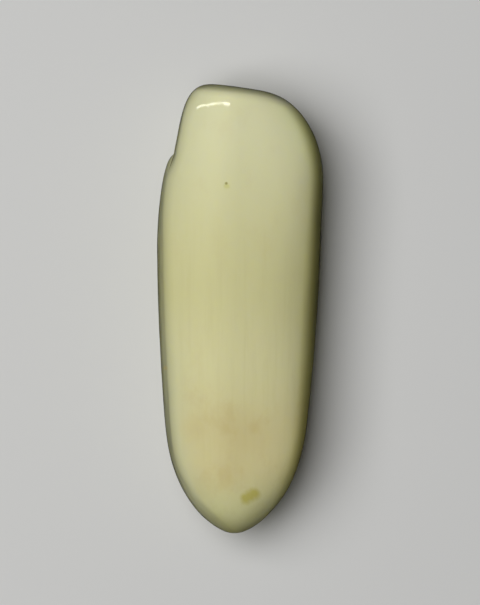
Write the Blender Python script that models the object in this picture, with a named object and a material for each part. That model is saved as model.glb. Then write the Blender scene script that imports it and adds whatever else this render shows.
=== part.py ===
# Polished cheek tooth of a walrus, one grown piece lying on its back.
# The long axis is Y, with the worn crown at +Y and the root tip at -Y. The broad front face looks up, +Z.
# The origin is on the resting flat, at the middle of the footprint.
import math

import bmesh
import bpy
import numpy as np

MM = 0.001

# Driving dimensions
TOOTH_LENGTH = 52.0 * MM
TOOTH_WIDTH = 19.3 * MM
TOOTH_THICKNESS = 13.6 * MM

# Body seen from the front. Every place along the tooth is measured from the root tip along its axis
BELLY_AT = 0.654 * TOOTH_LENGTH
BELLY_HALF_WIDTH = 0.493 * TOOTH_WIDTH
ROOT_TAPER = 0.133 * TOOTH_WIDTH
ROOT_TAPER_POWER = 1.54
ROOT_CAP_LENGTH = 0.277 * TOOTH_LENGTH
ROOT_CAP_POWER = 2.81
ROOT_TIP_POWER = 1.62
ROOT_TIP_BLUNTNESS = 0.02
ROOT_SIDE_SHIFT = -0.034 * TOOTH_WIDTH
RIGHT_BULGE = 0.006 * TOOTH_WIDTH
AXIS_LEAN = 0.016

# Crown, worn at a cant that falls away to the right
CROWN_AT = TOOTH_LENGTH
CANT = 0.142
CANT_PIVOT = -0.166 * TOOTH_WIDTH
CANT_REACH = (0.42 * TOOTH_LENGTH, 0.81 * TOOTH_LENGTH)
FACET_DISH = 0.12 * MM
RIGHT_CORNER = {"length": 0.196 * TOOTH_LENGTH, "depth": 0.402 * TOOTH_WIDTH, "power": 2.26}
LEFT_CORNER = {"length": 0.148 * TOOTH_LENGTH, "depth": 0.259 * TOOTH_WIDTH, "power": 3.96}
FRONT_CORNER = {"length": 0.035 * TOOTH_LENGTH, "depth": 0.298 * TOOTH_THICKNESS, "power": 2.16}
BACK_CORNER = {"length": 0.081 * TOOTH_LENGTH, "depth": 0.243 * TOOTH_THICKNESS, "power": 2.1}

# Left flank, where the crown steps in above the shoulder of the root
CROWN_HALF_WIDTH = 0.3985 * TOOTH_WIDTH
CROWN_SLOPE = 0.168
NOTCH_AT = 0.8396 * TOOTH_LENGTH
SHOULDER_FROM = 0.627 * TOOTH_LENGTH
SHOULDER_LENGTH = 0.204 * TOOTH_LENGTH
SHOULDER_DROP = 0.096 * TOOTH_WIDTH
NECK_UNDERCUT = 0.041 * TOOTH_WIDTH
NECK_REACH = (0.81 * TOOTH_LENGTH, 0.90 * TOOTH_LENGTH)
NECK_END = (0.93 * TOOTH_LENGTH, TOOTH_LENGTH)  # where the undercut fades out towards the worn end
NECK_BLEND = (-0.35, 0.3)
STEP_BLEND = (0.05, 0.5)  # the step fades out between these rises towards the front face
STEP_MERGE = (0.77 * TOOTH_LENGTH, 0.835 * TOOTH_LENGTH)  # and on the front it is gone by the lower place

# Rise of the front and drop of the back, from the axis where the girth is widest
AXIS_HEIGHT = 0.467 * TOOTH_THICKNESS
FRONT_RISE = 0.533 * TOOTH_THICKNESS
BACK_DROP = 0.503 * TOOTH_THICKNESS
FRONT_CAP_LENGTH = 0.165 * TOOTH_LENGTH
BACK_CAP_LENGTH = 0.212 * TOOTH_LENGTH
THINNING_POWER = 1.7
ROOT_THINNING_FROM = 0.60 * TOOTH_LENGTH
ROOT_THINNING = {"front": 0.115 * TOOTH_THICKNESS, "back": 0.110 * TOOTH_THICKNESS}
CROWN_THINNING_FROM = 0.66 * TOOTH_LENGTH
CROWN_THINNING = 0.120 * TOOTH_THICKNESS  # of the back
CROWN_ROLL_FROM = 0.831 * TOOTH_LENGTH
CROWN_ROLL = 0.0405 * TOOTH_THICKNESS  # how far the front bends down by the crown, ever more steeply
CROWN_ROLL_POWER = 4
FACE_LEAN = 0.12
FLAT_ROUNDING = 0.3 * MM

# Shape of the girth: a roundness of 2 is an ellipse and higher is squarer
TIP_ROUNDNESS = 2.0
TIP_ROUNDNESS_LENGTH = 0.19 * TOOTH_LENGTH
RIGHT_ROUNDNESS = {"root": 3.3, "body": 2.5, "crown": 3.0}
RIGHT_BODY_FROM = (0.20 * TOOTH_LENGTH, 0.50 * TOOTH_LENGTH)
RIGHT_CROWN_FROM = (0.55 * TOOTH_LENGTH, 0.85 * TOOTH_LENGTH)
BEVEL_ROUNDNESS = 1.95
CROWN_ROUNDNESS = 2.9
FACE_ROUNDNESS = 2.0
BACK_SIDE_ROUNDNESS = 2.4
BACK_ROUNDNESS = 3.0
BEVEL_RISE = 0.50
CROWN_BEVEL_RISE = 0.11
CROWN_REACH = (0.78 * TOOTH_LENGTH, 0.856 * TOOTH_LENGTH)
FACE_SPREAD = 1.21
RIDGE_SOFTNESS = 0.54 * MM

# Shallow lengthwise grooves of the root: girth angle, depth, and half their width as an angle
GROOVES = [
    {"angle": math.radians(212), "depth": 0.42 * MM, "spread": math.radians(13)},
    {"angle": math.radians(322), "depth": 0.30 * MM, "spread": math.radians(12)},
]
GROOVE_START = (0.08 * TOOTH_LENGTH, 0.23 * TOOTH_LENGTH)
GROOVE_END = (0.65 * TOOTH_LENGTH, 0.85 * TOOTH_LENGTH)

# Fineness of the mesh and of the outline that its rings are spaced on
GIRTH_SEGMENTS = 92
LENGTH_RINGS = 50
OUTLINE_SAMPLES = 4000
FACET_SAMPLES = 400
TINY = 1e-9

IVORY_COLOR = (0.58, 0.55, 0.31, 1.0)
IVORY_ROUGHNESS = 0.24


def ease(low, high, value):
    """Rises smoothly from 0 at low to 1 at high."""
    share = np.clip((value - low) / (high - low), 0, 1)
    return share * share * (3 - 2 * share)


def corner(along, length, depth, power):
    """How far a side has turned in over the rounded corner that ends at the crown."""
    share = np.clip((along - (CROWN_AT - length)) / length, 0, 1)
    return depth * (1 - (1 - share**power) ** (1 / power))


def root_cap(along, length, power=2.0, tip_power=2.0):
    """Share of the full size near the root tip: 0 at the blunt tip, 1 past the cap's length."""
    share = 1 - np.clip(1 - along / length, 0, 1) ** power
    blunted = (share + ROOT_TIP_BLUNTNESS) / (1 + ROOT_TIP_BLUNTNESS)
    return np.sqrt(share) * blunted ** (1 / tip_power - 0.5)


def widths(along):
    """Half-widths of the right side, and of the left side of the face, the bevel, the flank and the neck."""
    taper = ROOT_TAPER * np.clip(1 - along / BELLY_AT, 0, 1) ** ROOT_TAPER_POWER
    belly = (BELLY_HALF_WIDTH - taper) * root_cap(along, ROOT_CAP_LENGTH, ROOT_CAP_POWER, ROOT_TIP_POWER)
    right = belly + RIGHT_BULGE * ease(BELLY_AT, NOTCH_AT, along) - corner(along, **RIGHT_CORNER)
    crown = CROWN_HALF_WIDTH + CROWN_SLOPE * (NOTCH_AT - along)
    crown = np.minimum(belly, crown) - corner(along, **LEFT_CORNER)
    share = np.clip((along - SHOULDER_FROM) / SHOULDER_LENGTH, 0, 1)
    shoulder = belly - SHOULDER_DROP * (1 - np.sqrt(1 - share**2))
    shoulder = np.where(share < 1, shoulder, 0)
    undercut = NECK_UNDERCUT * ease(*NECK_REACH, along) * (1 - ease(*NECK_END, along))
    flank = np.maximum(crown, shoulder)
    bevel = flank + (crown - flank) * ease(*STEP_MERGE, along)
    return right, crown, bevel, flank, np.maximum(crown - undercut, shoulder)


def left_width(up, bevel, flank, neck):
    """Half-width of the left side in a direction: undercut below, stepped at the flank, smooth on the bevel."""
    side = neck + (flank - neck) * ease(*NECK_BLEND, up)
    return side + (bevel - side) * ease(*STEP_BLEND, up)


def heights(along):
    """Rise of the front and drop of the back, from the axis."""
    root = np.clip(1 - along / ROOT_THINNING_FROM, 0, 1) ** THINNING_POWER
    share = np.clip((along - CROWN_ROLL_FROM) / (CROWN_AT - CROWN_ROLL_FROM), 0, 1)
    front = FRONT_RISE - ROOT_THINNING["front"] * root - CROWN_ROLL * share**CROWN_ROLL_POWER
    thinning = CROWN_THINNING * ease(CROWN_THINNING_FROM, CROWN_AT, along)
    back = BACK_DROP - ROOT_THINNING["back"] * root - thinning
    front = front * root_cap(along, FRONT_CAP_LENGTH) - corner(along, **FRONT_CORNER)
    back = back * root_cap(along, BACK_CAP_LENGTH) - corner(along, **BACK_CORNER)
    return front, back


def groove_depth(along, angle):
    """Depth of the shallow grooves, which fade out before the crown and the root tip."""
    total = np.zeros_like(angle)
    for groove in GROOVES:
        away = np.arctan2(np.sin(angle - groove["angle"]), np.cos(angle - groove["angle"]))
        total += groove["depth"] * np.exp(-((away / groove["spread"]) ** 2))
    return total * ease(*GROOVE_START, along) * (1 - ease(*GROOVE_END, along))


def girth(across, up, width, height, roundness):
    """Distance from the axis to a superellipse, in the direction that across and up give."""
    width, height = np.maximum(width, TINY), np.maximum(height, TINY)
    return ((np.abs(across) / width) ** roundness + (np.abs(up) / height) ** roundness) ** (-1 / roundness)


def soft_least(one, other, softness):
    """The smaller of two distances, rounded over where they cross."""
    near = np.clip(1 - np.abs(one - other) / np.maximum(softness, TINY), 0, 1)
    return np.minimum(one, other) - softness * near**2 / 4


def soft_floor(height):
    """Clips heights at zero, with the edge of the flat rounded over."""
    near = np.clip(height + FLAT_ROUNDING, 0, 2 * FLAT_ROUNDING)
    return np.where(height > FLAT_ROUNDING, height, near**2 / (4 * FLAT_ROUNDING))


def rounder_tip(roundness, body):
    """Roundness of a side, which turns to an ellipse at the root tip."""
    return TIP_ROUNDNESS + (roundness - TIP_ROUNDNESS) * body


def right_roundness(along, body):
    """Roundness of the right side, which is squarer at the root and at the crown than at the belly."""
    root, belly, crown = RIGHT_ROUNDNESS["root"], RIGHT_ROUNDNESS["body"], RIGHT_ROUNDNESS["crown"]
    side = root + (belly - root) * ease(*RIGHT_BODY_FROM, along)
    return rounder_tip(side + (crown - belly) * ease(*RIGHT_CROWN_FROM, along), body)


def front_reach(across, up, right, face, left, front, along, body):
    """Front half of the girth. On the left the steep bevel is cut by the flatter face, and a soft ridge
    runs along the tooth where they meet. body is the share of the shape that the root tip loses."""
    crown = ease(*CROWN_REACH, along)
    front = front * (1 - FACE_LEAN * across)
    rise = (BEVEL_RISE + (CROWN_BEVEL_RISE - BEVEL_RISE) * crown) * body
    roundness = rounder_tip(BEVEL_ROUNDNESS, body) + (CROWN_ROUNDNESS - BEVEL_ROUNDNESS) * crown
    bevel = girth(across, up, left, front * (1 + rise), roundness)
    face = girth(across, up, FACE_SPREAD * face, front, rounder_tip(FACE_ROUNDNESS, body))
    flank = girth(across, up, right, front, right_roundness(along, body))
    return np.where(across > 0, flank, soft_least(bevel, face, RIDGE_SOFTNESS * body))


def back_reach(across, up, right, left, back, body):
    """Back half of the girth, which squares up from the sides to the flat below."""
    below = np.sqrt(np.clip(-up, 0, 1))
    roundness = BACK_SIDE_ROUNDNESS + (BACK_ROUNDNESS - BACK_SIDE_ROUNDNESS) * below
    return girth(across, up, np.where(across > 0, right, left), back, rounder_tip(roundness, body))


def tooth_surface(along, angle, facet):
    """Points of the skin. along runs from the root tip to the crown, angle goes round the girth from the
    right side over the front, and facet is 1 on the flanks and falls to 0 at the middle of the worn facet.
    Each quarter of the girth is a superellipse about the axis, with its own half-width and height."""
    across, up = np.cos(angle), np.sin(angle)
    right, face, *left = widths(along)
    left = left_width(up, *left)
    front, back = heights(along)
    body = ease(0, TIP_ROUNDNESS_LENGTH, along)
    before = front_reach(across, up, right, face, left, front, along, body)
    behind = back_reach(across, up, right, left, back, body)
    reach = np.where(up > 0, before, behind)
    reach = (reach - np.minimum(groove_depth(along, angle), reach)) * facet
    x = reach * across + ROOT_SIDE_SHIFT + AXIS_LEAN * along
    y = along - FACET_DISH * (1 - facet**2) ** 2 - CANT * (x - CANT_PIVOT) * ease(*CANT_REACH, along)
    return x, y, soft_floor(reach * up + AXIS_HEIGHT)


def ring_places(share):
    """Place along the axis and on the worn facet, at even steps of the outline's length from tip to crown."""
    fine = np.linspace(0, 1, OUTLINE_SAMPLES)
    along = CROWN_AT * fine**3 * (10 - 15 * fine + 6 * fine**2)
    right, _, _, left, _ = widths(along)
    front, back = heights(along)
    radius = (right + left + front + back) / 4
    facet = np.linspace(1, 0, FACET_SAMPLES)[1:]
    place = np.concatenate([along, np.full(facet.size, CROWN_AT)])
    ring = np.concatenate([np.ones(fine.size), facet])
    radius = np.concatenate([radius, radius[-1] * facet])
    steps = np.hypot(np.diff(place), np.diff(radius))
    length = np.concatenate([[0], np.cumsum(steps)])
    wanted = share * length[-1]
    return np.interp(wanted, length, place), np.interp(wanted, length, ring)


def fit_to_size(points):
    """Centres the footprint on the origin and gives the tooth exactly its driving dimensions."""
    low, high = points.min(axis=0), points.max(axis=0)
    size = np.array([TOOTH_WIDTH, TOOTH_LENGTH, TOOTH_THICKNESS])
    middle = (low + high) / 2
    middle[2] = low[2]
    return (points - middle) * size / (high - low)


def make_tooth():
    """Reshapes a sphere, whose poles become the root tip and the middle of the worn facet."""
    mesh = bpy.data.meshes.new("tooth")
    sphere = bmesh.new()
    bmesh.ops.create_uvsphere(sphere, u_segments=GIRTH_SEGMENTS, v_segments=LENGTH_RINGS, radius=1)
    sphere.to_mesh(mesh)
    sphere.free()
    points = np.empty(len(mesh.vertices) * 3, dtype=np.float32)
    mesh.vertices.foreach_get("co", points)
    points = points.reshape(-1, 3).astype(float)
    along, facet = ring_places(np.arccos(np.clip(-points[:, 2], -1, 1)) / math.pi)
    angle = np.arctan2(points[:, 1], points[:, 0])
    skin = fit_to_size(np.stack(tooth_surface(along, angle, facet), axis=1))
    mesh.vertices.foreach_set("co", skin.astype(np.float32).ravel())
    mesh.flip_normals()  # the sphere's Z became Y, which turned its faces inwards
    mesh.update()
    mesh.shade_smooth()
    return mesh


def ivory():
    material = bpy.data.materials.new("polished_ivory")
    material.use_nodes = True
    shader = material.node_tree.nodes["Principled BSDF"]
    shader.inputs["Base Color"].default_value = IVORY_COLOR
    shader.inputs["Roughness"].default_value = IVORY_ROUGHNESS
    shader.inputs["Metallic"].default_value = 0.0
    return material


def main():
    for old in list(bpy.data.objects):
        bpy.data.objects.remove(old)
    tooth = bpy.data.objects.new("tooth", make_tooth())
    tooth.data.materials.append(ivory())
    bpy.context.scene.collection.objects.link(tooth)


main()
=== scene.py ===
# Looks of a polished walrus cheek tooth, which lies on its back with the worn crown at +Y
import math
import bpy
import numpy as np
from mathutils import Matrix, Vector


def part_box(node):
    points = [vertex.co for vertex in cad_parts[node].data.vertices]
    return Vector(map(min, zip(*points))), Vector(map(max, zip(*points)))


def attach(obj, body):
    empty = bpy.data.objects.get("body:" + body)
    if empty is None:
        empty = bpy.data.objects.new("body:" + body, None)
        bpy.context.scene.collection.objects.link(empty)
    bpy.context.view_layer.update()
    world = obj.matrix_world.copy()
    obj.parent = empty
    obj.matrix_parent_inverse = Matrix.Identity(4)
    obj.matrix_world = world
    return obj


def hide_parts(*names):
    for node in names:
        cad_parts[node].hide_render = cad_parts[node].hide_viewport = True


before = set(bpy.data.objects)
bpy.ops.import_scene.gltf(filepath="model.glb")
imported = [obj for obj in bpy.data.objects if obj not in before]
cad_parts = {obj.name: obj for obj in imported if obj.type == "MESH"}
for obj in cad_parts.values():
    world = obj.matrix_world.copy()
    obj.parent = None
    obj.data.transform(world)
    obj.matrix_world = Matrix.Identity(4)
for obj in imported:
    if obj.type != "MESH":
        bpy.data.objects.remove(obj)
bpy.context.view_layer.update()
mm = 0.001
print("frame loaded")

toothLow, toothHigh = (np.array(corner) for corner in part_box("tooth"))
width, length, thickness = toothHigh - toothLow

# Form of the tooth, the same as the solid's. Places along it are measured from the root tip
toothForm = {
    "bellyAt": 0.654 * length, "bellyHalfWidth": 0.493 * width,
    "rootTaper": 0.133 * width, "rootTaperPower": 1.54,
    "rootCapLength": 0.277 * length, "rootCapPower": 2.81, "rootTipPower": 1.62, "rootTipBluntness": 0.02,
    "rootSideShift": -0.034 * width, "rightBulge": 0.006 * width, "axisLean": 0.016,
    "cant": 0.142, "cantPivot": -0.166 * width, "cantReach": (0.42 * length, 0.81 * length),
    "facetDish": 0.12 * mm,
    "rightCorner": (0.196 * length, 0.402 * width, 2.26),  # length, depth, power
    "leftCorner": (0.148 * length, 0.259 * width, 3.96),
    "frontCorner": (0.035 * length, 0.298 * thickness, 2.16),
    "backCorner": (0.081 * length, 0.243 * thickness, 2.1),
    "crownHalfWidth": 0.3985 * width, "crownSlope": 0.168, "notchAt": 0.8396 * length,
    "shoulderFrom": 0.627 * length, "shoulderLength": 0.204 * length, "shoulderDrop": 0.096 * width,
    "neckUndercut": 0.041 * width, "neckReach": (0.81 * length, 0.90 * length),
    "neckEnd": (0.93 * length, length), "neckBlend": (-0.35, 0.3),
    "stepBlend": (0.05, 0.5),  # the step fades out between these rises towards the front face
    "stepMerge": (0.77 * length, 0.835 * length),  # the bevel goes over to the crown's outline here
    "axisHeight": 0.467 * thickness, "frontRise": 0.533 * thickness, "backDrop": 0.503 * thickness,
    "frontCapLength": 0.165 * length, "backCapLength": 0.212 * length,
    "thinningPower": 1.7, "rootThinningFrom": 0.60 * length,
    "rootThinning": (0.115 * thickness, 0.110 * thickness),  # front, back
    "crownThinningFrom": 0.66 * length, "crownThinning": 0.120 * thickness,  # of the back
    "crownRollFrom": 0.831 * length, "crownRoll": 0.0405 * thickness, "crownRollPower": 4,  # of the front
    "faceLean": 0.12, "flatRounding": 0.3 * mm,
    "tipRoundness": 2.0, "tipRoundnessLength": 0.19 * length,
    "rightRoundness": (3.3, 2.5, 3.0),  # root, belly, crown
    "rightBellyFrom": (0.20 * length, 0.50 * length), "rightCrownFrom": (0.55 * length, 0.85 * length),
    "bevelRoundness": 1.95, "crownRoundness": 2.9, "faceRoundness": 2.0,
    "backSideRoundness": 2.4, "backRoundness": 3.0, "bevelRise": 0.50, "crownBevelRise": 0.11,
    "crownReach": (0.78 * length, 0.856 * length), "faceSpread": 1.21, "ridgeSoftness": 0.54 * mm,
    "grooves": [(212, 0.42 * mm, 13), (322, 0.30 * mm, 12)],  # degrees round, depth, half width in degrees
    "grooveStart": (0.08 * length, 0.23 * length), "grooveEnd": (0.65 * length, 0.85 * length),
}

# Fine relief on that form, and how closely its grid is spaced. Angles round the girth are in degrees
toothRelief = {
    "rings": 318, "segments": 300,
    "crowdedAngle": 158, "crowdedSpread": 16, "crowding": 2.6,  # more segments of the girth near the crease
    "broadWaves": {"wavelength": 6.0 * mm, "depth": 0.016 * mm, "stretch": 0.35, "seed": 3},
    "fineWaves": {"wavelength": 1.7 * mm, "depth": 0.0035 * mm, "stretch": 0.6, "seed": 8},
    "flutes": {"wavelength": 1.5 * mm, "depth": 0.010 * mm, "stretch": 0.05, "seed": 21},
    "waveCount": 28, "waveSpread": (0.7, 1.5),  # waves in each set, and shares of its wavelength
    "wavesAtRootTip": 0.05 * length,  # they fade out over this much of the root tip
    "wavesOnWornEnd": 0.35, "wornEndFade": (0.7, 1),  # and are this weak on the worn end
    "flutesOnFront": 0.05, "frontSlope": (0.2, 0.9),  # the front has only this share of the flutes
    "flutesEnd": (0.66 * length, 0.82 * length),
    "crease": {
        "angle": 158.5, "reach": (0.775 * length, 0.842 * length), "fullBy": 0.8, "fade": 1.6 * mm,
        "faceWidth": 1.3, "flankWidth": 2.6, "endWidth": 0.2, "depth": 0.08 * mm},
    "neckGroove": {
        "at": 0.845 * length, "halfWidth": 0.9 * mm, "depth": 0.08 * mm,
        "angles": (168, 236), "fades": (0.3, 0.5)},  # the fades are in radians
    "pit": {"x": -1.58 * mm, "y": 14.35 * mm, "radius": 0.13 * mm, "depth": 0.10 * mm},
    "foramen": {"radius": 0.50 * mm, "depth": 0.13 * mm},
}


# Rises smoothly from 0 at low to 1 at high: 3s^2 - 2s^3 of the share s between them
def ease(low, high, value):
    share = np.clip((value - low) / (high - low), 0, 1)
    return share * share * (3 - 2 * share)


# How far a side has turned in over a rounded corner that ends at the crown, a superellipse quarter
def cornerTurn(along, corner):
    reach, depth, power = corner
    share = np.clip((along - (length - reach)) / reach, 0, 1)
    return depth * (1 - (1 - share**power) ** (1 / power))


# Share of the full size near the root tip: 0 at the blunt tip, 1 past the cap
def rootCap(along, capLength, power=2.0, tipPower=2.0):
    blunt = toothForm["rootTipBluntness"]
    share = 1 - np.clip(1 - along / capLength, 0, 1) ** power
    return np.sqrt(share) * ((share + blunt) / (1 + blunt)) ** (1 / tipPower - 0.5)


# Half widths of the right, and on the left of the face, the bevel, the flank and the neck. The flank's is
# the larger of two outlines, the crown that narrows in a straight line and the shoulder that ends in an arc
def halfWidths(along):
    form = toothForm
    taper = form["rootTaper"] * np.clip(1 - along / form["bellyAt"], 0, 1) ** form["rootTaperPower"]
    cap = rootCap(along, form["rootCapLength"], form["rootCapPower"], form["rootTipPower"])
    belly = (form["bellyHalfWidth"] - taper) * cap
    right = belly + form["rightBulge"] * ease(form["bellyAt"], form["notchAt"], along)
    right = right - cornerTurn(along, form["rightCorner"])
    crown = form["crownHalfWidth"] + form["crownSlope"] * (form["notchAt"] - along)
    crown = np.minimum(belly, crown) - cornerTurn(along, form["leftCorner"])
    share = np.clip((along - form["shoulderFrom"]) / form["shoulderLength"], 0, 1)
    shoulder = belly - form["shoulderDrop"] * (1 - np.sqrt(1 - share**2))
    shoulder = np.where(share < 1, shoulder, 0)
    undercut = form["neckUndercut"] * ease(*form["neckReach"], along) * (1 - ease(*form["neckEnd"], along))
    flank = np.maximum(crown, shoulder)
    bevel = flank + (crown - flank) * ease(*form["stepMerge"], along)
    return right, crown, bevel, flank, np.maximum(crown - undercut, shoulder)


# Half width of the left in a direction: undercut below, stepped at the flank and smooth on the bevel
def leftWidth(up, bevel, flank, neck):
    side = neck + (flank - neck) * ease(*toothForm["neckBlend"], up)
    return side + (bevel - side) * ease(*toothForm["stepBlend"], up)


# Rise of the front and drop of the back from the axis. By the crown the front bends down, with a power of
# the share of the way to the worn end
def riseAndDrop(along):
    form = toothForm
    root = np.clip(1 - along / form["rootThinningFrom"], 0, 1) ** form["thinningPower"]
    share = np.clip((along - form["crownRollFrom"]) / (length - form["crownRollFrom"]), 0, 1)
    roll = form["crownRoll"] * share ** form["crownRollPower"]
    front = form["frontRise"] - form["rootThinning"][0] * root - roll
    thinning = form["crownThinning"] * ease(form["crownThinningFrom"], length, along)
    back = form["backDrop"] - form["rootThinning"][1] * root - thinning
    front = front * rootCap(along, form["frontCapLength"]) - cornerTurn(along, form["frontCorner"])
    back = back * rootCap(along, form["backCapLength"]) - cornerTurn(along, form["backCorner"])
    return front, back


# Gaussian grooves at fixed places round the girth, faded out before both ends
def rootGrooves(along, angle):
    total = np.zeros_like(angle)
    for place, depth, spread in toothForm["grooves"]:
        total += depth * np.exp(-((angleFrom(angle, place) / math.radians(spread)) ** 2))
    return total * ease(*toothForm["grooveStart"], along) * (1 - ease(*toothForm["grooveEnd"], along))


# Angle from a place round the girth that is given in degrees, between -pi and pi
def angleFrom(angle, degrees):
    place = math.radians(degrees)
    return np.arctan2(np.sin(angle - place), np.cos(angle - place))


# Superellipse: distance from the axis r, where |r across / width|^n + |r up / height|^n = 1
def girth(across, up, halfWidth, height, roundness):
    tiny = 1e-9
    halfWidth, height = np.maximum(halfWidth, tiny), np.maximum(height, tiny)
    total = (np.abs(across) / halfWidth) ** roundness + (np.abs(up) / height) ** roundness
    return total ** (-1 / roundness)


# Smaller of two distances, with a parabola over the crossing
def softLeast(one, other, softness):
    near = np.clip(1 - np.abs(one - other) / np.maximum(softness, 1e-9), 0, 1)
    return np.minimum(one, other) - softness * near**2 / 4


# Heights clipped at zero, with a parabola over the edge of the flat
def softFloor(height):
    rounding = toothForm["flatRounding"]
    near = np.clip(height + rounding, 0, 2 * rounding)
    return np.where(height > rounding, height, near**2 / (4 * rounding))


# Front half of the girth: on the left the lesser of a steep bevel and a flatter face, which meet in a soft
# ridge
def frontReach(across, up, right, face, left, front, along, body):
    form = toothForm
    crown = ease(*form["crownReach"], along)
    front = front * (1 - form["faceLean"] * across)
    rise = (form["bevelRise"] + (form["crownBevelRise"] - form["bevelRise"]) * crown) * body
    roundness = rounderTip(form["bevelRoundness"], body)
    roundness = roundness + (form["crownRoundness"] - form["bevelRoundness"]) * crown
    bevel = girth(across, up, left, front * (1 + rise), roundness)
    face = girth(across, up, form["faceSpread"] * face, front, rounderTip(form["faceRoundness"], body))
    flank = girth(across, up, right, front, rightRoundness(along, body))
    return np.where(across > 0, flank, softLeast(bevel, face, form["ridgeSoftness"] * body))


# Back half of the girth, which squares up from the sides to the flat below
def backReach(across, up, right, left, back, body):
    form = toothForm
    below = np.sqrt(np.clip(-up, 0, 1))
    roundness = form["backSideRoundness"] + (form["backRoundness"] - form["backSideRoundness"]) * below
    return girth(across, up, np.where(across > 0, right, left), back, rounderTip(roundness, body))


# A roundness that turns to an ellipse's 2 at the root tip
def rounderTip(roundness, body):
    return toothForm["tipRoundness"] + (roundness - toothForm["tipRoundness"]) * body


# The right side is squarer at the root and at the crown than at the belly
def rightRoundness(along, body):
    root, belly, crown = toothForm["rightRoundness"]
    side = root + (belly - root) * ease(*toothForm["rightBellyFrom"], along)
    return rounderTip(side + (crown - belly) * ease(*toothForm["rightCrownFrom"], along), body)


# Skin of the tooth: the girth's reach in each direction from an axis that leans, sheared by the crown's
# cant. facet is 1 on the flanks and falls to 0 at the middle of the worn end, which is dished by
# (1 - facet^2)^2
def toothSkin(along, angle, facet):
    form = toothForm
    across, up = np.cos(angle), np.sin(angle)
    right, face, *left = halfWidths(along)
    left = leftWidth(up, *left)
    front, back = riseAndDrop(along)
    body = ease(0, form["tipRoundnessLength"], along)
    before = frontReach(across, up, right, face, left, front, along, body)
    behind = backReach(across, up, right, left, back, body)
    reach = np.where(up > 0, before, behind)
    reach = (reach - np.minimum(rootGrooves(along, angle), reach)) * facet
    x = reach * across + form["rootSideShift"] + form["axisLean"] * along
    dish = form["facetDish"] * (1 - facet**2) ** 2
    y = along - dish - form["cant"] * (x - form["cantPivot"]) * ease(*form["cantReach"], along)
    return np.stack([x, y, softFloor(reach * up + form["axisHeight"])], axis=-1)


# Places of the rings, at even steps of the outline's length from the root tip to the middle of the worn end.
# The outline is measured at places that crowd at both ends: 10s^3 - 15s^4 + 6s^5 of even steps s
def ringPlaces(count, flankSamples=4000, endSamples=400):
    fine = np.linspace(0, 1, flankSamples)
    along = length * fine**3 * (10 - 15 * fine + 6 * fine**2)
    right, _, _, left, _ = halfWidths(along)
    front, back = riseAndDrop(along)
    radius = (right + left + front + back) / 4
    facet = np.linspace(1, 0, endSamples)[1:]
    place = np.concatenate([along, np.full(facet.size, length)])
    ring = np.concatenate([np.ones(fine.size), facet])
    radius = np.concatenate([radius, radius[-1] * facet])
    path = np.concatenate([[0], np.cumsum(np.hypot(np.diff(place), np.diff(radius)))])
    wanted = np.linspace(0, path[-1], count)
    return np.interp(wanted, path, place), np.interp(wanted, path, ring)


# Places round the girth: even steps of the running total of 1 + crowding * exp(-(angle / spread)^2)
def girthPlaces(count, samples=4000):
    fine = np.linspace(0, 2 * math.pi, samples)
    away = angleFrom(fine, toothRelief["crowdedAngle"]) / math.radians(toothRelief["crowdedSpread"])
    total = np.cumsum(1 + toothRelief["crowding"] * np.exp(-(away**2)))
    total = (total - total[0]) / (total[-1] - total[0])
    return np.interp(np.arange(count) / count, total, fine)


# Outward unit normals of a grid of points that closes round its second axis: the cross of its two slopes
def gridNormals(points):
    alongSlope = np.gradient(points, axis=0)
    roundSlope = np.roll(points, -1, axis=1) - np.roll(points, 1, axis=1)
    normals = np.cross(alongSlope, roundSlope)
    size = np.linalg.norm(normals, axis=-1, keepdims=True)
    normals = normals / np.maximum(size, 1e-15)
    normals[0], normals[-1] = (0, -1, 0), (0, 1, 0)
    return normals


# Ripples: sine waves in random directions added up, and stretched along the tooth
def ripples(points, wavelength, stretch, seed):
    count = toothRelief["waveCount"]
    draw = np.random.default_rng(seed)
    directions = draw.normal(size=(count, 3))
    directions /= np.linalg.norm(directions, axis=1, keepdims=True)
    directions *= 2 * math.pi / (wavelength * draw.uniform(*toothRelief["waveSpread"], (count, 1)))
    phases = draw.uniform(0, 2 * math.pi, count)
    return np.sin(points * (1, stretch, 1) @ directions.T + phases).sum(axis=-1) / math.sqrt(count / 2)


# The crease in front of the shoulder: 1 along its middle, with a Gaussian's fall that is quicker towards the
# face. It narrows to a point at both ends
def creaseShare(along, angle):
    crease = toothRelief["crease"]
    low, high = crease["reach"]
    full = low + crease["fullBy"] * (high - low)
    span = ease(low, full, along) * (1 - ease(high, high + crease["fade"], along))
    away = angleFrom(angle, crease["angle"])
    halfWidth = np.where(away > 0, crease["flankWidth"], crease["faceWidth"])
    halfWidth = halfWidth * (crease["endWidth"] + (1 - crease["endWidth"]) * span)
    return span * np.exp(-((away / np.radians(halfWidth)) ** 2))


# Share of the flutes, which are faint on the front and end before the crown
def fluteShare(along, normals):
    onFront = toothRelief["flutesOnFront"]
    awayFromFront = 1 - ease(*toothRelief["frontSlope"], normals[..., 2])
    return (onFront + (1 - onFront) * awayFromFront) * (1 - ease(*toothRelief["flutesEnd"], along))


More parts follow.
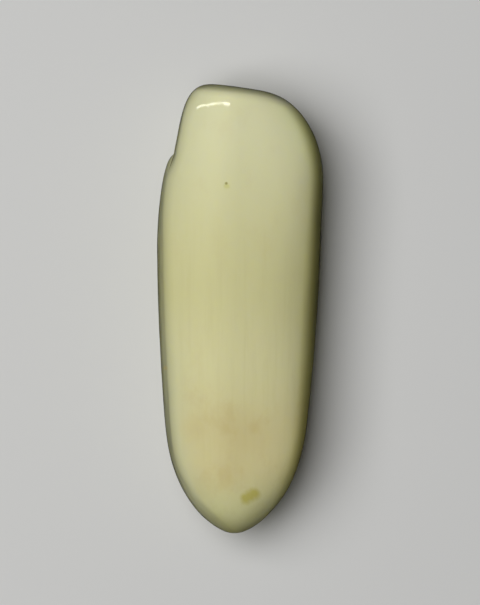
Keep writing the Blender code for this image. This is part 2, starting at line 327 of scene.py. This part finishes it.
# Height of the fine relief over the skin, in metres
def reliefHeight(points, normals, along, angle, facet):
    relief = toothRelief
    height = np.zeros(along.shape)
    for name, share in (("broadWaves", 1), ("fineWaves", 1), ("flutes", fluteShare(along, normals))):
        wave = relief[name]
        height += wave["depth"] * share * ripples(points, wave["wavelength"], wave["stretch"], wave["seed"])
    onEnd = relief["wavesOnWornEnd"]
    height *= onEnd + (1 - onEnd) * ease(*relief["wornEndFade"], facet)
    height *= ease(0, relief["wavesAtRootTip"], along)
    height -= relief["crease"]["depth"] * creaseShare(along, angle)

    neck = relief["neckGroove"]
    start, end = (math.radians(turn) for turn in neck["angles"])
    fadeIn, fadeOut = neck["fades"]
    span = ease(start, start + fadeIn, angle) * (1 - ease(end - fadeOut, end, angle)) * (facet == 1)
    height -= neck["depth"] * span * np.exp(-(((along - neck["at"]) / neck["halfWidth"]) ** 2))

    pit = relief["pit"]
    away = np.hypot(points[..., 0] - pit["x"], points[..., 1] - pit["y"]) / pit["radius"]
    height -= pit["depth"] * np.exp(-(away**2)) * (normals[..., 2] > 0)

    foramen = relief["foramen"]
    away = np.linalg.norm(points - points[0, 0], axis=-1) / foramen["radius"]
    return height - foramen["depth"] * np.exp(-(away**2))


# Mesh of a closed grid: a pole, the inner rings and a pole, joined by quads and two fans of triangles
def closedMesh(name, grid):
    rings, segments = grid.shape[0] - 2, grid.shape[1]
    points = np.concatenate([grid[:1, 0], grid[1:-1].reshape(-1, 3), grid[-1:, 0]])
    here = 1 + np.arange(rings * segments).reshape(rings, segments)
    beside = np.roll(here, -1, axis=1)
    quads = np.stack([here[:-1], here[1:], beside[1:], beside[:-1]], axis=-1).reshape(-1, 4)
    first = np.stack([np.zeros(segments, int), here[0], beside[0]], axis=-1)
    last = np.stack([np.full(segments, len(points) - 1), beside[-1], here[-1]], axis=-1)
    mesh = bpy.data.meshes.new(name)
    mesh.from_pydata(points, [], first.tolist() + quads.tolist() + last.tolist())
    mesh.shade_smooth()
    return mesh


# A value at every vertex of such a mesh, for the material
def addAttribute(mesh, name, kind, field, grid):
    flat = grid.reshape(grid.shape[0], grid.shape[1], -1)
    values = np.concatenate([flat[:1, 0], flat[1:-1].reshape(-1, flat.shape[2]), flat[-1:, 0]])
    mesh.attributes.new(name, kind, "POINT").data.foreach_set(field, values.astype(np.float32).ravel())


def makeTooth():
    along, facet = ringPlaces(toothRelief["rings"])
    angle = girthPlaces(toothRelief["segments"])
    along, angle = np.meshgrid(along, angle, indexing="ij")
    facet = np.broadcast_to(facet[:, None], along.shape)
    skin = toothSkin(along, angle, facet)
    skin = fitToBox(skin)
    normals = gridNormals(skin)
    height = reliefHeight(skin, normals, along, angle, facet)
    points = skin + normals * height[..., None]
    # The flat that it rests on stays flat
    points[..., 2] = np.where(skin[..., 2] <= 0, 0, np.maximum(points[..., 2], 0))
    mesh = closedMesh("polishedTooth", fitToBox(points))
    addAttribute(mesh, "skinNormal", "FLOAT_VECTOR", "vector", normals)
    addAttribute(mesh, "reliefMm", "FLOAT", "value", height / mm)
    addAttribute(mesh, "creaseShare", "FLOAT", "value", creaseShare(along, angle))
    return mesh


# Moves and scales points so that their box is the CAD tooth's own
def fitToBox(points):
    flat = points.reshape(-1, 3)
    low, high = flat.min(axis=0), flat.max(axis=0)
    return toothLow + (points - low) * (toothHigh - toothLow) / (high - low)


# A socket that takes part in arithmetic: each operator adds one Math node
class Value:
    def __init__(self, nodes, socket):
        self.nodes, self.socket = nodes, socket

    def __add__(self, other):
        return self.nodes.math("ADD", self, other)

    def __radd__(self, other):
        return self.nodes.math("ADD", other, self)

    def __sub__(self, other):
        return self.nodes.math("SUBTRACT", self, other)

    def __rsub__(self, other):
        return self.nodes.math("SUBTRACT", other, self)

    def __mul__(self, other):
        return self.nodes.math("MULTIPLY", self, other)

    def __rmul__(self, other):
        return self.nodes.math("MULTIPLY", other, self)


# Adds nodes to one material and gives back their first output, or the one named
class Nodes:
    def __init__(self, material):
        material.use_nodes = True
        self.tree = material.node_tree
        self.shader = self.tree.nodes["Principled BSDF"]

    def add(self, kind, settings, values, output=0):
        node = self.tree.nodes.new(kind)
        for name, setting in settings.items():
            setattr(node, name, setting)
        for key, value in values.items():
            self.feed(node.inputs[key], value)
        return Value(self, node.outputs[output])

    def feed(self, socket, value):
        if isinstance(value, Value):
            self.tree.links.new(value.socket, socket)
        else:
            socket.default_value = value

    def attribute(self, name, output="Fac"):
        return self.add("ShaderNodeAttribute", {"attribute_name": name}, {}, output)

    def part(self, vector, axis):
        return self.add("ShaderNodeSeparateXYZ", {}, {0: vector}, axis)

    def math(self, operation, first, second):
        return self.add("ShaderNodeMath", {"operation": operation}, {0: first, 1: second})

    def vector(self, operation, *values):
        output = "Value" if operation in ("DISTANCE", "DOT_PRODUCT", "LENGTH") else 0
        return self.add("ShaderNodeVectorMath", {"operation": operation}, dict(enumerate(values)), output)

    # 0 below low and 1 above high, with a smooth step between them; low may be the larger
    def smooth(self, value, low, high):
        ends = {"From Min": low, "From Max": high}
        if low > high:
            ends = {"From Min": high, "From Max": low, "To Min": 1.0, "To Max": 0.0}
        return self.add("ShaderNodeMapRange", {"interpolation_type": "SMOOTHSTEP"}, {"Value": value, **ends})

    def noise(self, vector, scale, detail=3.0, roughness=0.5, output="Fac"):
        return self.add("ShaderNodeTexNoise", {}, {
            "Vector": vector, "Scale": scale, "Detail": detail, "Roughness": roughness}, output)

    # Colour that goes from one to the other as share goes from 0 to 1. The node's colours are inputs 6 and 7
    def mix(self, share, one, other, blend="MIX"):
        settings = {"data_type": "RGBA", "blend_type": blend}
        return self.add("ShaderNodeMix", settings, {"Factor": share, 6: one, 7: other}, 2)


# Colours of the ivory. Places on it are in millimetres, x across and y along. A pair of places, of slopes of
# the normal or of noise levels says where a mark starts to show and where it shows fully
ivoryLook = {
    "body": (0.650, 0.627, 0.338, 1),
    "zones": [  # along the tooth
        {"colour": (0.733, 0.724, 0.461, 1), "reach": (2, 23)},  # crown
        {"colour": (0.685, 0.657, 0.374, 1), "reach": (3, -6)},  # waist
        {"colour": (0.655, 0.600, 0.325, 1), "reach": (-6, -15)},  # root
        {"colour": (0.660, 0.650, 0.350, 1), "reach": (-18, -24)}],  # tip
    "streaks": {
        "colour": (0.560, 0.520, 0.250, 1), "share": 0.20, "reach": (16, 0),
        "scale": 1.3, "stretch": 0.055, "levels": (0.45, 0.75)},
    "mottling": {
        "colour": (0.560, 0.460, 0.205, 1), "share": 0.34, "reach": (-5, -12), "end": (-24, -18),
        "elsewhere": 0.25, "scale": 0.30, "stretch": 0.7, "levels": (0.50, 0.72)},
    # painted sheen: a paler, less yellow colour where the skin turns to the left
    "paleSheen": {"colour": (0.670, 0.660, 0.410, 1), "share": 0.8, "turn": (-0.20, -0.65), "reach": (2, -10)},
    "shake": {"scale": 0.9, "amount": 0.5},
    "patches": {"softness": 0.8, "at": [  # x, y, radius, share
        (1.5, -13.6, 0.55, 0.38), (-1.7, -13.7, 0.60, 0.32), (0.4, -14.5, 2.6, 0.30),
        (-5.3, -13.7, 1.3, 0.26), (-1.2, -18.6, 1.6, 0.16), (-8.6, -6.8, 0.22, 0.70)]},
    "stain": {"colour": (0.520, 0.470, 0.120, 1), "share": 0.9, "softness": 0.6, "at": [  # x, y, radius
        (0.70, -21.75, 0.62), (1.12, -21.50, 0.64), (1.58, -21.22, 0.66)]},
    "halo": {"colour": (0.600, 0.590, 0.170, 1), "share": 0.5, "softness": 0.7, "at": (-1.58, 14.08, 0.32)},
    "speck": {"colour": (0.360, 0.340, 0.120, 1), "softness": 0.5, "at": (-1.58, 14.35, 0.15)},
    # painted shade: a dark colour in the relief's hollows and along the crease
    "crease": {"colour": (0.190, 0.180, 0.080, 1), "share": (0.12, 0.6), "shadedHollows": (-0.09, -0.24)},
    "marksFace": (0.0, 0.2), "tintsFace": (-0.20, 0.25),  # upward slopes where marks and tints fade in
}

# Painted shade and light: tints that multiply the ivory's colour where its skin turns away from the front.
# They paint the fall-off of light on the sides and ends: olive and darker on the right, greyer and darker on
# the left, darker at the crown and the root, and a lighter band on the sloping corners, which is painted
# light. turn is how far the normal points sideways, or endways on the crown and the root, where a tint
# starts and where it is full
paintedSideShading = {
    "right": {"colour": (1.00, 0.99, 0.55, 1), "turn": (0.50, 1.0)},
    "dusk": {"colour": (0.44, 0.44, 0.44, 1), "turn": (0.60, 1.0), "rootward": (4, -8), "lessBy": 0.30},
    # painted light: a lighter band on the corners' slopes by the crown and the root
    "corner": {
        "colour": (1.12, 1.14, 1.08, 1), "turn": (0.25, 0.60), "turnEnd": (0.98, 0.75),
        "tippedEnd": (0.70, 0.40), "crownReach": (14, 21), "rootReach": (-11, -17), "rootShare": 0.7},
    "belly": {
        "colour": (0.68, 0.67, 0.66, 1), "turn": (0.62, 0.92), "crownEnd": (20, 10), "rootEnd": (-16, 2)},
    "left": {"colour": (0.77, 0.78, 0.76, 1), "turn": (-0.05, -1.0), "tippedShare": 0.35},
    "edge": {
        "colour": (0.60, 0.62, 0.62, 1), "turn": (-0.90, -1.0), "rootReach": (-6, -16), "elsewhere": 0.5},
    "crown": {"colour": (0.62, 0.63, 0.56, 1), "turn": (0.70, 1.0)},
    "root": {"colour": (0.67, 0.66, 0.58, 1), "turn": (-0.50, -0.90), "rise": (0.0, 0.45)},
}

# The layers on the worn end. Their edges are shares of an ellipse's radius from its middle
wornEndLook = {
    "slope": (0.80, 0.95), "middle": (0.0, 26.0, 6.6), "radius": (4.6, 3.1),
    "unevenness": 0.25, "unevenScale": 0.5,
    "core": (0.560, 0.490, 0.270, 1), "coreShare": 0.6, "coreEdge": (0.75, 0.35),
    "cloudScale": 1.1, "cloudLevels": (0.30, 0.70),
    "cement": (0.480, 0.400, 0.200, 1), "cementShare": 0.45, "cementInside": (0.90, 0.97),
    "cementOutside": (1.06, 0.98),
}

# How the ivory is polished, and how deep light goes into it
polishLook = {
    "roughness": 0.05, "least": 0.02, "spread": 0.03, "spreadScale": 0.45,
    "scuffs": 0.02, "scuffScale": 2.2, "scuffStretch": (3.0, 0.5, 3.0), "scuffLevels": (0.6, 0.8),
    "grainDepth": 0.003 * mm, "grainStrength": 0.5, "grainScale": 6.0, "grainStretch": (1.0, 0.12, 1.0),
    "pores": 0.4, "poreScale": 14.0,
    "constants": {
        "Metallic": 0.0, "IOR": 1.54, "Subsurface Weight": 0.60, "Subsurface Radius": (1.0, 0.90, 0.40),
        "Subsurface Scale": 1.0 * mm, "Coat Weight": 0.4, "Coat Roughness": 0.03},
}


# Soft disc round a point on the front: 1 inside and 0 outside, with an edge from radius * (1 - softness) to
# radius * (1 + softness)
def frontSpot(nodes, flat, facing, spot, softness):
    x, y, radius = spot
    away = nodes.vector("DISTANCE", flat, (x, y, 0))
    return nodes.smooth(away, radius * (1 + softness), radius * (1 - softness)) * facing


# Colour of the ivory: zones, streaks, mottling, a paler rim on the left that is a painted sheen, then the
# painted side shading, then the marks and the painted shade in hollows
def ivoryColour(nodes, place):
    look = ivoryLook
    along = nodes.part(place, "Y")
    colour = look["body"]
    for zone in look["zones"]:
        colour = nodes.mix(nodes.smooth(along, *zone["reach"]), colour, zone["colour"])

    streaks = look["streaks"]
    lengthwise = nodes.vector("MULTIPLY", place, (1.0, streaks["stretch"], 1.0))
    cloudy = nodes.noise(lengthwise, streaks["scale"], detail=4.0, roughness=0.6)
    share = nodes.smooth(cloudy, *streaks["levels"]) * nodes.smooth(along, *streaks["reach"])
    colour = nodes.mix(share * streaks["share"], colour, streaks["colour"])

    mottling = look["mottling"]
    stretched = nodes.vector("MULTIPLY", place, (1.0, mottling["stretch"], 1.0))
    cloudy = nodes.noise(stretched, mottling["scale"], detail=5.0, roughness=0.62)
    lower = nodes.smooth(along, *mottling["reach"]) * nodes.smooth(along, *mottling["end"])
    lower = mottling["elsewhere"] + (1 - mottling["elsewhere"]) * lower
    share = nodes.smooth(cloudy, *mottling["levels"]) * lower
    colour = nodes.mix(share * mottling["share"], colour, mottling["colour"])

    paleSheen = look["paleSheen"]
    sideways = nodes.part(nodes.attribute("skinNormal", "Vector"), "X")
    share = nodes.smooth(sideways, *paleSheen["turn"]) * nodes.smooth(along, *paleSheen["reach"])
    colour = nodes.mix(share * paleSheen["share"], colour, paleSheen["colour"])
    colour = paintSideShading(nodes, along, colour)
    colour = wornEnd(nodes, place, colour)
    return frontMarks(nodes, place, colour)


# Marks on the front: brown patches, the stain by the root tip and the dark speck in its halo. Then painted
# shade: a dark colour in the relief's hollows and along the crease
def frontMarks(nodes, place, colour):
    look = ivoryLook
    flat = nodes.vector("MULTIPLY", place, (1.0, 1.0, 0.0))
    shaken = nodes.vector("ADD", flat, shake(nodes, place, **look["shake"]))
    facing = nodes.smooth(nodes.part(nodes.attribute("skinNormal", "Vector"), "Z"), *look["marksFace"])
    for *spot, most in look["patches"]["at"]:
        share = frontSpot(nodes, shaken, facing, spot, look["patches"]["softness"])
        colour = nodes.mix(share * most, colour, look["mottling"]["colour"])

    stain = look["stain"]
    share = 0.0
    for spot in stain["at"]:
        share = nodes.math("MAXIMUM", frontSpot(nodes, shaken, facing, spot, stain["softness"]), share)
    colour = nodes.mix(share * stain["share"], colour, stain["colour"])

    halo, speck, crease = look["halo"], look["speck"], look["crease"]
    share = frontSpot(nodes, shaken, facing, halo["at"], halo["softness"])
    colour = nodes.mix(share * halo["share"], colour, halo["colour"])
    share = frontSpot(nodes, flat, facing, speck["at"], speck["softness"])
    colour = nodes.mix(share, colour, speck["colour"])
    # painted shade in the hollows of the relief and along the crease
    share = nodes.smooth(nodes.attribute("reliefMm"), *crease["shadedHollows"])
    colour = nodes.mix(share, colour, crease["colour"])
    share = nodes.smooth(nodes.attribute("creaseShare"), *crease["share"])
    return nodes.mix(share, colour, crease["colour"])


# Painted shade where the skin turns away from the front: it gets more olive and darker on the right and
# greyer and darker on the left. The right is darkest at the belly and lighter by the crown and the root, and
# both ends are darker. The sloping corners by the crown and the root get a painted lighter band
def paintSideShading(nodes, along, colour):
    normal = nodes.attribute("skinNormal", "Vector")
    sideways, endways, rise = (nodes.part(normal, axis) for axis in "XYZ")
    tipped = nodes.math("ABSOLUTE", endways, 0.0)
    facing = nodes.smooth(rise, *ivoryLook["tintsFace"])
    _, dusk, corner, belly, left, edge, _, root = paintedSideShading.values()
    slopes = {"left": sideways - tipped * left["tippedShare"], "crown": endways, "root": endways}
    byCorners = (nodes.smooth(along, *corner["crownReach"])
                 + nodes.smooth(along, *corner["rootReach"]) * corner["rootShare"])
    limits = {
        "dusk": 1 - nodes.smooth(along, *dusk["rootward"]) * dusk["lessBy"],
        "corner": (nodes.smooth(sideways, *corner["turnEnd"])
                   * nodes.smooth(tipped, *corner["tippedEnd"]) * byCorners),
        "belly": nodes.smooth(along, *belly["crownEnd"]) * nodes.smooth(along, *belly["rootEnd"]),
        "edge": edge["elsewhere"] + (1 - edge["elsewhere"]) * nodes.smooth(along, *edge["rootReach"]),
        "root": nodes.smooth(rise, *root["rise"]),
    }
    for name, tint in paintedSideShading.items():
        share = nodes.smooth(slopes.get(name, sideways), *tint["turn"]) * facing
        if name in limits:
            share = share * limits[name]
        colour = nodes.mix(share, colour, tint["colour"], "MULTIPLY")
    return colour


# The worn end shows the tooth's layers: a browner core with cloudy edges and a thin line round it, both
# ellipses, whose distance from the middle is sqrt((x / width)^2 + (z / height)^2) with a little noise
def wornEnd(nodes, place, colour):
    look = wornEndLook
    worn = nodes.smooth(nodes.part(nodes.attribute("skinNormal", "Vector"), "Y"), *look["slope"])
    halfWidth, halfHeight = look["radius"]
    across = nodes.vector("SUBTRACT", place, look["middle"])
    away = nodes.vector("LENGTH", nodes.vector("MULTIPLY", across, (1 / halfWidth, 0.0, 1 / halfHeight)))
    away = away + (nodes.noise(place, look["unevenScale"]) - 0.5) * look["unevenness"]
    cloudy = nodes.noise(place, look["cloudScale"], detail=4.0, roughness=0.6)
    core = nodes.smooth(away, *look["coreEdge"]) * nodes.smooth(cloudy, *look["cloudLevels"]) * worn
    colour = nodes.mix(core * look["coreShare"], colour, look["core"])
    line = nodes.smooth(away, *look["cementInside"]) * nodes.smooth(away, *look["cementOutside"])
    return nodes.mix(line * worn * look["cementShare"], colour, look["cement"])


# Small steady offsets of a place, so that what is drawn round it has an uneven edge
def shake(nodes, place, scale, amount):
    colour = nodes.noise(place, scale, output="Color")
    centred = nodes.vector("SUBTRACT", colour, (0.5, 0.5, 0.5))
    return nodes.vector("MULTIPLY", centred, (amount, amount, 0.0))


# Roughness of the polish: it varies in broad patches, and fine lengthwise scuffs are a little duller
def polishRoughness(nodes, place):
    look = polishLook
    patches = nodes.noise(place, look["spreadScale"], detail=4.0, roughness=0.6)
    lengthwise = nodes.vector("MULTIPLY", place, look["scuffStretch"])
    scuffs = nodes.noise(lengthwise, look["scuffScale"], roughness=0.6)
    roughness = look["roughness"] + (patches - 0.5) * look["spread"]
    roughness = roughness + nodes.smooth(scuffs, *look["scuffLevels"]) * look["scuffs"]
    return nodes.math("MAXIMUM", roughness, look["least"])


# Bumps of the surface: a lengthwise grain with finer pores on it
def polishGrain(nodes, place):
    look = polishLook
    lengthwise = nodes.vector("MULTIPLY", place, look["grainStretch"])
    grain = nodes.noise(lengthwise, look["grainScale"], roughness=0.6)
    height = grain + nodes.noise(place, look["poreScale"], detail=2.0) * look["pores"]
    values = {"Strength": look["grainStrength"], "Distance": look["grainDepth"], "Height": height}
    return nodes.add("ShaderNodeBump", {}, values, "Normal")


def polishedIvory():
    material = bpy.data.materials.new("polishedIvory")
    nodes = Nodes(material)
    metres = nodes.add("ShaderNodeTexCoord", {}, {}, "Object")
    place = nodes.vector("MULTIPLY", metres, (1 / mm, 1 / mm, 1 / mm))
    nodes.feed(nodes.shader.inputs["Base Color"], ivoryColour(nodes, place))
    nodes.feed(nodes.shader.inputs["Roughness"], polishRoughness(nodes, place))
    nodes.feed(nodes.shader.inputs["Normal"], polishGrain(nodes, place))
    for name, value in polishLook["constants"].items():
        nodes.shader.inputs[name].default_value = value
    return material


tooth = bpy.data.objects.new("polishedTooth", makeTooth())
bpy.context.scene.collection.objects.link(tooth)
tooth.data.materials.append(polishedIvory())
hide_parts("tooth")
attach(tooth, "root")
print("tooth made:", len(tooth.data.polygons), "faces")

# Studio, in metres and watts: a pale floor, a broad soft box a little left of overhead that lights the tooth
# without a reflection, thin strip lamps that only reflect, in a broken line on the crown's edge, and a weak
# even surround. A lamp's length runs along the direction given, and size is its length and width
studio = {
    "floorSize": 3.0, "floorColour": (0.60, 0.60, 0.59, 1), "floorRoughness": 0.9,
    "surround": (1.0, 1.0, 1.0, 1), "surroundStrength": 0.012,
    "box": {"at": (-0.260, 0.070, 0.650), "along": (1, 0, 0), "size": (0.60, 0.60), "power": 5.85},
    "stripColour": (1.0, 0.98, 0.82),
    "strips": [
        {
            "at": (-0.489, 0.232, 0.284), "along": (0.075, -0.005, 0.140),
            "size": (0.176, 0.024), "power": 0.088},
        {
            "at": (-0.383, 0.223, 0.427), "along": (0.103, 0.005, 0.091),
            "size": (0.140, 0.026), "power": 0.080},
        {
            "at": (-0.247, 0.216, 0.519), "along": (0.155, -0.019, 0.086),
            "size": (0.195, 0.009), "power": 0.045},
        {
            "at": (-0.106, 0.191, 0.576), "along": (0.118, -0.017, 0.025),
            "size": (0.124, 0.014), "power": 0.050},
    ],
}

# The picture's middle, and how much of the tooth's plane it takes in from top to bottom
cameraView = {
    "x": -0.017 * mm, "y": 0.740 * mm, "planeHeight": 6.35 * mm, "tall": 70.23 * mm, "distance": 0.45,
    "sensor": 36, "nearest": 0.01,
}


# The polish mirrors no floor, so that the tooth's edges fall off into the dark
def makeFloor():
    half = studio["floorSize"] / 2
    corners = [(-half, -half, 0), (half, -half, 0), (half, half, 0), (-half, half, 0)]
    mesh = bpy.data.meshes.new("floor")
    mesh.from_pydata(corners, [], [(0, 1, 2, 3)])
    floor = bpy.data.objects.new("floor", mesh)
    floor.location.z = toothLow[2]
    floor.visible_glossy = False
    bpy.context.scene.collection.objects.link(floor)
    material = bpy.data.materials.new("paleFloor")
    material.use_nodes = True
    shader = material.node_tree.nodes["Principled BSDF"]
    shader.inputs["Base Color"].default_value = studio["floorColour"]
    shader.inputs["Roughness"].default_value = studio["floorRoughness"]
    mesh.materials.append(material)


# A rectangular lamp that faces the tooth from a place, with its length as near to a direction as that
# allows
def makeLamp(name, look):
    light = bpy.data.lights.new(name, "AREA")
    light.shape = "RECTANGLE"
    light.size, light.size_y = look["size"]
    light.energy = look["power"]
    lamp = bpy.data.objects.new(name, light)
    lamp.location = look["at"]
    outward = lamp.location.normalized()
    side = outward.cross(Vector(look["along"])).normalized()
    lamp.rotation_mode = "QUATERNION"
    lamp.rotation_quaternion = Matrix((side.cross(outward), side, outward)).transposed().to_quaternion()
    bpy.context.scene.collection.objects.link(lamp)
    return lamp


def makeSurround():
    world = bpy.data.worlds.new("surround")
    bpy.context.scene.world = world
    world.use_nodes = True
    background = world.node_tree.nodes["Background"]
    background.inputs["Color"].default_value = studio["surround"]
    background.inputs["Strength"].default_value = studio["surroundStrength"]


# Camera that looks straight down. The sensor's width goes with the longer side of the picture, which stands
# upright
def makeCamera():
    camera = bpy.data.cameras.new("camera")
    camera.sensor_width = cameraView["sensor"]
    camera.lens = cameraView["sensor"] * cameraView["distance"] / cameraView["tall"]
    camera.clip_start = cameraView["nearest"]
    holder = bpy.data.objects.new("camera", camera)
    height = cameraView["planeHeight"] + cameraView["distance"]
    holder.location = (cameraView["x"], cameraView["y"], height)
    bpy.context.scene.collection.objects.link(holder)
    bpy.context.scene.camera = holder


makeFloor()
makeLamp("box", studio["box"]).visible_glossy = False
for strip in studio["strips"]:
    lamp = makeLamp("strip", strip)
    lamp.visible_diffuse = False
    lamp.data.color = studio["stripColour"]
makeSurround()
makeCamera()
bpy.context.scene.view_settings.view_transform = "Standard"
print("studio made")
